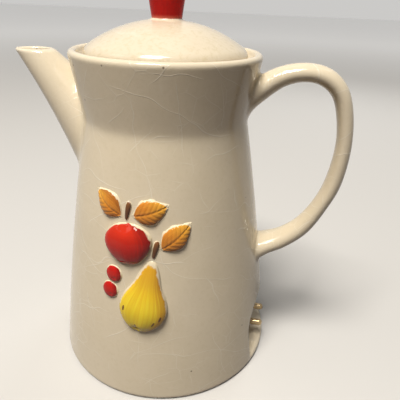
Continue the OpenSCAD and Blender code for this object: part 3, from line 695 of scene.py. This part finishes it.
class Paint:
    """Builds one material's nodes."""

    def __init__(self, name, **shader):
        self.material = bpy.data.materials.new(name)
        self.material.use_nodes = True
        self.tree = self.material.node_tree
        self.shader = self.tree.nodes["Principled BSDF"]
        self.set(self.shader, shader)
        self.place = self.add("ShaderNodeTexCoord").outputs["Object"]

    def set(self, node, values):
        for key, value in values.items():
            socket = node.inputs[key.replace("_", " ")] if isinstance(key, str) else node.inputs[key]
            if isinstance(value, bpy.types.NodeSocket):
                self.tree.links.new(value, socket)
            elif isinstance(value, tuple) and len(value) == 3 and socket.type == "RGBA":
                socket.default_value = (*value, 1)
            else:
                socket.default_value = value

    def add(self, kind, values=None, **props):
        node = self.tree.nodes.new(kind)
        for key, value in props.items():
            setattr(node, key, value)
        self.set(node, values or {})
        return node

    def mark(self, name):
        return self.add("ShaderNodeAttribute", attribute_name=name).outputs["Fac"]

    def noise(self, scale, detail=3.0, rough=0.5, place=None):
        values = {"Vector": place or self.place, "Scale": scale, "Detail": detail, "Roughness": rough}
        return self.add("ShaderNodeTexNoise", values).outputs["Fac"]

    def cells(self, scale, feature="F1", place=None, out="Distance", flat=False):
        return self.add("ShaderNodeTexVoronoi", {"Vector": place or self.place, "Scale": scale},
                        voronoi_dimensions="2D" if flat else "3D", feature=feature).outputs[out]

    def math(self, kind, *values):
        return self.add("ShaderNodeMath", dict(enumerate(values)), operation=kind).outputs[0]

    def band(self, value, low, high, to_low=0.0, to_high=1.0):
        """value from low to high, made to run smoothly between two other numbers."""
        return self.add("ShaderNodeMapRange", {"Value": value, 1: low, 2: high, 3: to_low, 4: to_high},
                        interpolation_type="SMOOTHSTEP").outputs[0]

    def mix(self, amount, a, b, kind="MIX"):
        node = self.add("ShaderNodeMix", data_type="RGBA", blend_type=kind)
        self.set(node, {0: amount, 6: a, 7: b})
        return node.outputs[2]

    def stretch(self, scale, turn=(0, 0, 0)):
        values = {"Vector": self.place, "Scale": scale, "Rotation": turn}
        return self.add("ShaderNodeMapping", values).outputs[0]

    def vector(self, kind, values):
        return self.add("ShaderNodeVectorMath", values, operation=kind).outputs[0]

    def warp(self, scale, amount):
        """Places shifted by noise, so that patterns wander."""
        noise = self.add("ShaderNodeTexNoise", {"Vector": self.place, "Scale": scale, "Detail": 2.0})
        centred = self.vector("SUBTRACT", {0: noise.outputs["Color"], 1: (0.5, 0.5, 0.5)})
        sized = self.vector("SCALE", {0: centred, "Scale": amount})
        return self.vector("ADD", {0: self.place, 1: sized})

    def bump(self, *layers):
        """Layers of (height, distance in metres), one over the other."""
        normal = None
        for height, distance in layers:
            values = {"Height": height, "Distance": distance, "Strength": 1.0}
            if normal is not None:
                values["Normal"] = normal
            normal = self.add("ShaderNodeBump", values).outputs[0]
        self.set(self.shader, {"Normal": normal})


CREAM, CLOUD, POOLED = (0.76, 0.662, 0.495), (0.71, 0.612, 0.44), (0.54, 0.45, 0.24)
THIN, CRAZE = (0.86, 0.79, 0.66), (0.90, 0.85, 0.74)
RED, DEEP_RED, IRON = (0.52, 0.008, 0.003), (0.20, 0.003, 0.002), (0.10, 0.06, 0.035)
BARE_SLIP = (0.80, 0.70, 0.50)
LIP_SPECK_Z = (LIP_Z - LIP_T) * MM

# Families of long crazing lines: a direction across the lines, and the mean gap in metres
CRAZE_RUNS = (((-0.55, 0.35, 0.75), 0.021), ((0.35, 0.25, 0.90), 0.026),
              ((-0.12, 0.40, 0.90), 0.031), ((0.95, 0.10, 0.20), 0.024))
CRAZE_W = 0.00032


def craze_lines(p):
    """Long lines that wander across each other and fade, with a faint net of short ones between."""
    edge = p.cells(76, "DISTANCE_TO_EDGE", p.warp(22, 0.014))
    net = p.math("MULTIPLY", p.band(edge, 0, 0.026, 1, 0), p.band(p.noise(30, 2), 0.48, 0.62))
    total = p.math("MULTIPLY", net, 0.6)
    for k, (across, gap) in enumerate(CRAZE_RUNS):
        run = p.add("ShaderNodeVectorMath", {0: p.place, 1: across}, operation="DOT_PRODUCT").outputs["Value"]
        turned_place = p.stretch((1, 1, 1), (1.1 * k + 0.4, 0.7 * k, 0.3))
        wander = p.noise(24, 2, 0.5, turned_place)
        off = p.math("FRACT", p.math("ADD", p.math("DIVIDE", run, gap), wander))
        off = p.math("ABSOLUTE", p.math("SUBTRACT", off, 0.5))
        shown = p.band(p.noise(34, 2, 0.5, turned_place), 0.47, 0.59)
        line = p.math("MULTIPLY", p.band(off, 0, CRAZE_W / gap, 1, 0), shown)
        total = p.math("MAXIMUM", total, line)
    return total


def glaze(p, clear, cloud, grain, crazed, lip_specks):
    """Mottled glaze, pooled in hollows, thin on edges, crazed and specked: its colour and its craze lines."""
    tone = p.mix(p.band(p.noise(28, 4), 0.3, 0.7, 0, 0.5), clear, cloud)
    tone = p.mix(p.band(p.noise(420, 3, 0.6), 0.45, 0.75, 0, grain), tone, POOLED)
    pool = p.mark("pool")
    tone = p.mix(p.band(pool, 0.25, 2.2, 0, 0.75), tone, POOLED)
    tone = p.mix(p.band(pool, -2.6, -0.5, 0.6, 0), tone, THIN)
    place = p.add("ShaderNodeSeparateXYZ", {0: p.place}).outputs
    # The spout, left of the body, is hardly crazed
    spout_side = p.band(place["X"], -0.062, -0.048, 0.3, 1)
    craze = p.math("MULTIPLY", craze_lines(p), p.math("MULTIPLY", spout_side, crazed))
    tone = p.mix(p.math("MULTIPLY", craze, 0.5), tone, CRAZE)
    speck = p.band(p.cells(150), 0.05, 0.11, 1, 0)
    # Specks are rare, save along the lip
    chance = p.add("ShaderNodeTexWhiteNoise", {"Vector": p.cells(150, out="Position")}).outputs["Value"]
    lip = p.band(place["Z"], LIP_SPECK_Z, LIP_SPECK_Z + 0.001, 0, lip_specks)
    rare = p.band(p.math("ADD", chance, lip), 0.94, 0.945)
    return p.mix(p.math("MULTIPLY", p.math("MULTIPLY", speck, rare), 0.8), tone, IRON), craze


def gloss_bump(p, craze=None):
    """The slight waves and orange peel of poured glaze, and its crazing where there is any."""
    layers = [(p.noise(16, 2), 0.0011), (p.noise(240, 2), 0.00006)]
    if craze is not None:
        layers.append((craze, 0.00006))
    p.bump(*layers)


GLOSS = dict(Roughness=0.09, IOR=1.45)


def cream_glaze(name, clear, cloud, grain, crazed, lip_specks):
    """The pot's cream glaze, glossy with duller patches."""
    p = Paint(name, **GLOSS)
    tone, craze = glaze(p, clear, cloud, grain, crazed, lip_specks)
    p.set(p.shader, {"Base Color": tone, "Roughness": p.band(p.noise(45, 3), 0.35, 0.65, 0.08, 0.17)})
    gloss_bump(p, craze)
    return p.material


cream = cream_glaze("cream_glaze", CREAM, CLOUD, 0.12, 1.0, 0.75)
# The lid's glaze is the cream with more mottle, which is its own, and a darker tone, which is painted shade
# on its lamp-lit top
lid_cream_shaded = cream_glaze("cream_glaze_lid_shaded", (0.73, 0.64, 0.49), (0.67, 0.58, 0.43), 0.38, 0.35, 0.0)


def knob_glaze():
    """Red glaze, thin and pale at the knob's foot and chipped along its top edge."""
    p = Paint("red_glaze_knob", Specular_IOR_Level=0.16, **GLOSS)
    rise = p.mark("rise")
    red = p.mix(p.band(p.noise(70, 4), 0.35, 0.7), RED, (0.42, 0.006, 0.003))
    red = p.mix(p.band(rise, 0.0, 0.10, 0.75, 0), red, (0.72, 0.20, 0.13))
    chip = p.band(p.noise(150, 4, 0.7), 0.70, 0.735)
    worn = p.math("MULTIPLY", chip, p.band(rise, 0.80, 0.93))
    p.set(p.shader, {"Base Color": p.mix(worn, red, (0.80, 0.70, 0.58))})
    gloss_bump(p)
    return p.material


knob_red = knob_glaze()


def dash_marks(p, spot, along, strength):
    """Short dark dabs in the lower half, one to a cell of a grid, and most cells left bare."""
    grid = p.add("ShaderNodeMapping", {"Vector": spot, "Scale": (3.4, 3.8, 1.0)}).outputs[0]
    mark = p.band(p.cells(1.0, place=grid, flat=True), 0.12, 0.17, 1, 0)
    centre = p.cells(1.0, place=grid, out="Position", flat=True)
    picked = p.add("ShaderNodeTexWhiteNoise", {"Vector": centre}).outputs["Value"]
    where = p.math("MULTIPLY", p.band(picked, 0.60, 0.62), p.band(along, 0.06, 0.12))
    where = p.math("MULTIPLY", where, p.band(along, 0.5, 0.6, 1, 0))
    return p.math("MULTIPLY", p.math("MULTIPLY", mark, where), strength)


STROKE = (220, 26, 220)


def painted(name, colours, painted_shade, dashes=0.0):
    """Hand painting on raised ware: brushed colour that stops short of the edges, over cream, with painted
    shade down one side.
    """
    p = Paint(name, Specular_IOR_Level=0.3, **GLOSS)
    across, along, rise = p.mark("across"), p.mark("along"), p.mark("rise")
    spot = p.add("ShaderNodeCombineXYZ", {0: across, 1: along, 2: 0.0}).outputs[0]
    brushed = p.add("ShaderNodeMapping", {"Vector": spot, "Scale": STROKE}).outputs[0]
    streak = p.noise(0.05, 3, 0.55, brushed)
    tone = p.mix(p.band(streak, 0.36, 0.64), colours[0], colours[1])
    # The upper end takes the third colour; on the apple this lighter red is a painted highlight on its top
    upper = p.band(p.math("ADD", along, p.math("MULTIPLY", streak, 0.35)), 0.55, 1.1, 0, 0.8)
    tone = p.mix(upper, tone, colours[2])
    # Painted shade: the side where across runs high is darkened, as the side turned from the light
    side = p.band(p.math("ADD", across, p.math("MULTIPLY", streak, 0.5)), 0.62, 1.15, 0, 0.75)
    tone = p.mix(side, tone, painted_shade)
    if dashes:
        tone = p.mix(dash_marks(p, spot, along, dashes), tone, (0.12, 0.035, 0.01))
    edge = p.math("ADD", rise, p.math("MULTIPLY", p.math("SUBTRACT", p.noise(300, 2), 0.5), 0.5))
    tone = p.mix(p.band(edge, 0.30, 0.46, 1, 0), tone, BARE_SLIP)
    p.set(p.shader, {"Base Color": tone})
    gloss_bump(p)
    return p.material


# Two brushed colours, one for the upper end, and a painted shade for the side turned from the light
YELLOWS = [(0.86, 0.66, 0.03), (0.82, 0.56, 0.02), (0.74, 0.34, 0.02)]
AMBERS = [(0.68, 0.27, 0.03), (0.60, 0.20, 0.02), (0.74, 0.38, 0.04)]
BROWNS = [(0.16, 0.06, 0.02), (0.10, 0.035, 0.012), (0.22, 0.09, 0.03)]
sprig_paint = {
    "relief_pear": painted("yellow_glaze", YELLOWS, (0.50, 0.20, 0.015), 0.9),
    # The apple's third colour is a painted highlight for its top
    "relief_apple": painted("red_glaze_apple", [RED, (0.46, 0.007, 0.003), (0.58, 0.03, 0.006)], DEEP_RED),
    "relief_leaves": painted("amber_glaze", AMBERS, (0.30, 0.09, 0.012)),
    "relief_berries": painted("red_glaze_berries", [RED, (0.47, 0.008, 0.003), RED], DEEP_RED),
    "relief_stems": painted("brown_glaze", BROWNS, (0.05, 0.02, 0.01)),
}


def metal(name, colour, worn, rough, grain=(40, 40, 900), depth=0.00002, dirt=0.35):
    """Bare or plated metal with drawn grain, stains and a little wear."""
    p = Paint(name, Metallic=1.0)
    line = p.noise(1.0, 3, 0.6, p.stretch(grain))
    stain = p.band(p.noise(140, 4, 0.6), 0.42, 0.68)
    tone = p.mix(p.math("MULTIPLY", stain, dirt), p.mix(line, colour, worn), tuple(0.35 * c for c in colour))
    p.set(p.shader, {"Base Color": tone, "Roughness": p.band(line, 0.2, 0.8, rough - 0.06, rough + 0.1)})
    p.bump((line, depth), (p.noise(90, 3), depth * 3))
    return p.material


def mineral(name, colour, second, scale, flake, rough=0.55, depth=0.0001):
    """Mica, pad or sleeving: a mottled matt body with flakes or fibres."""
    p = Paint(name, Roughness=rough, IOR=1.45)
    cell = p.cells(scale, out="Color", place=p.stretch(flake))
    tone = p.mix(p.band(p.noise(scale * 0.3, 4), 0.3, 0.7), colour, second)
    tone = p.mix(0.12, tone, cell, "OVERLAY")
    p.set(p.shader, {"Base Color": tone})
    p.bump((p.noise(scale * 1.6, 4, 0.6, p.stretch(flake)), depth))
    return p.material


brass = metal("brass", (0.42, 0.30, 0.15), (0.56, 0.43, 0.26), 0.30, dirt=0.7)
plated = metal("plated_steel", (0.56, 0.55, 0.52), (0.68, 0.67, 0.64), 0.26)
alloy = metal("resistance_alloy", (0.22, 0.20, 0.19), (0.34, 0.31, 0.29), 0.42, (900, 40, 40))
spring = metal("spring_steel", (0.16, 0.16, 0.17), (0.28, 0.28, 0.29), 0.34, (60, 60, 60))
sheet = metal("aluminium_sheet", (0.72, 0.72, 0.73), (0.80, 0.80, 0.81), 0.32, (30, 700, 30))
mica = mineral("mica", (0.46, 0.34, 0.18), (0.60, 0.48, 0.30), 260, (1, 1, 6), 0.38)
pad = mineral("insulation", (0.66, 0.64, 0.58), (0.76, 0.74, 0.69), 420, (1, 4, 1), 0.9, 0.0004)
sleeve = mineral("sleeving", (0.58, 0.52, 0.36), (0.68, 0.63, 0.48), 900, (1, 1, 2.5), 0.8, 0.0002)

for o, m in ((pot, cream), (lid, lid_cream_shaded), (knob, knob_red)):
    o.data.materials.append(m)
for node_name, o in raised.items():
    o.data.materials.append(sprig_paint[node_name])
finishes = {
    brass: ("inlet_pins", "pin_nuts", "element_rivets", "screw_bushes"),
    plated: ("ring_terminals", "clamp_plate", "base_screws", "screw_washers"),
    alloy: ("element_ribbon",), spring: ("pressure_spring",), sheet: ("base_plate",),
    mica: ("pin_washers", "element_former", "mica_upper", "mica_lower"),
    pad: ("insulating_pad",), sleeve: ("lead_wires",),
}
for material, names in finishes.items():
    for node_name in names:
        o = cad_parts[node_name]
        o.data.materials.clear()
        o.data.materials.append(material)

# ---- camera --------------------------------------------------------------------------------

cam = bpy.data.objects.new("camera", bpy.data.cameras.new("camera"))
bpy.context.collection.objects.link(cam)
cam.data.sensor_width, cam.data.lens = 36, 36.57
cam.data.clip_start, cam.data.clip_end = 0.01, 100
# The photo's viewpoint, solved from the pot's rings and outlines
right = Vector((0.984050, 0.174553, 0.034350))
up = Vector((-0.108044, 0.432987, 0.894903))
ahead = Vector((-0.141336, 0.884339, -0.444938))
turn = Matrix((right, up, -ahead)).transposed().to_4x4()
cam.matrix_world = Matrix.Translation(Vector((0.062583, -0.246645, 0.233489))) @ turn
bpy.context.scene.camera = cam

# ---- floor and light -----------------------------------------------------------------------


def seen_ray(tree):
    """1 for rays that show the surroundings: from the camera, in a gloss or through glass."""
    path = tree.nodes.new("ShaderNodeLightPath")
    total = path.outputs["Is Camera Ray"]
    for name in ("Is Glossy Ray", "Is Transmission Ray"):
        node = tree.nodes.new("ShaderNodeMath")
        node.operation = "MAXIMUM"
        tree.links.new(total, node.inputs[0])
        tree.links.new(path.outputs[name], node.inputs[1])
        total = node.outputs[0]
    return total


FLOOR_SEEN, FLOOR_BOUNCE = (0.62, 0.61, 0.59), (0.08, 0.06, 0.05)
SKY = (1.0, 0.985, 0.96)
FLOOR_HALF = 8
floor_paint = Paint("floor", Roughness=0.7, Specular_IOR_Level=0.2)
floor_seen = seen_ray(floor_paint.tree)
floor_paint.set(floor_paint.shader, {"Base Color": floor_paint.mix(floor_seen, FLOOR_BOUNCE, FLOOR_SEEN)})
# The lamps fade with distance, so the floor glows a little far from the pot and stays even
away = floor_paint.add("ShaderNodeVectorMath", {0: floor_paint.place}, operation="LENGTH").outputs["Value"]
glow = floor_paint.math("MULTIPLY", floor_seen, floor_paint.band(away, 0.3, 3.0, 0, 0.44))
floor_paint.set(floor_paint.shader, {"Emission Color": SKY, "Emission Strength": glow})
floor_mesh = bpy.data.meshes.new("floor")
corners = [(x * FLOOR_HALF, y * FLOOR_HALF, 0) for x, y in ((-1, -1), (1, -1), (1, 1), (-1, 1))]
floor_mesh.from_pydata(corners, [], [(0, 1, 2, 3)])
floor = bpy.data.objects.new("floor", floor_mesh)
floor_mesh.materials.append(floor_paint.material)
bpy.context.collection.objects.link(floor)

world = bpy.data.worlds.new("studio")
bpy.context.scene.world = world
world.use_nodes = True
back = world.node_tree.nodes["Background"]
back.inputs["Color"].default_value = (*SKY, 1)
level = world.node_tree.nodes.new("ShaderNodeMapRange")
world.node_tree.links.new(seen_ray(world.node_tree), level.inputs["Value"])
level.inputs["To Min"].default_value, level.inputs["To Max"].default_value = 0.07, 0.6
world.node_tree.links.new(level.outputs[0], back.inputs["Strength"])

LAMP_AIM = Vector((0, 0, 0.12))


def lamp(name, place, size, power, colour=(1, 1, 1)):
    """A square soft lamp, aimed at the pot's middle."""
    data = bpy.data.lights.new(name, "AREA")
    data.shape, data.size = "SQUARE", size
    data.energy, data.color = power, colour
    obj = bpy.data.objects.new(name, data)
    obj.location = place
    obj.rotation_euler = (LAMP_AIM - Vector(place)).to_track_quat("-Z", "Y").to_euler()
    bpy.context.collection.objects.link(obj)
    return obj


WARM = (1.0, 0.95, 0.88)
lamp("overhead", (-0.28, -0.76, 1.99), 0.8, 59, WARM)
lamp("left", (-0.8, -0.3, 0.95), 0.35, 0.8, WARM)
lamp("behind", (0.3, 0.9, 0.7), 0.5, 2.5).visible_glossy = False

bpy.context.scene.view_settings.view_transform = "Standard"
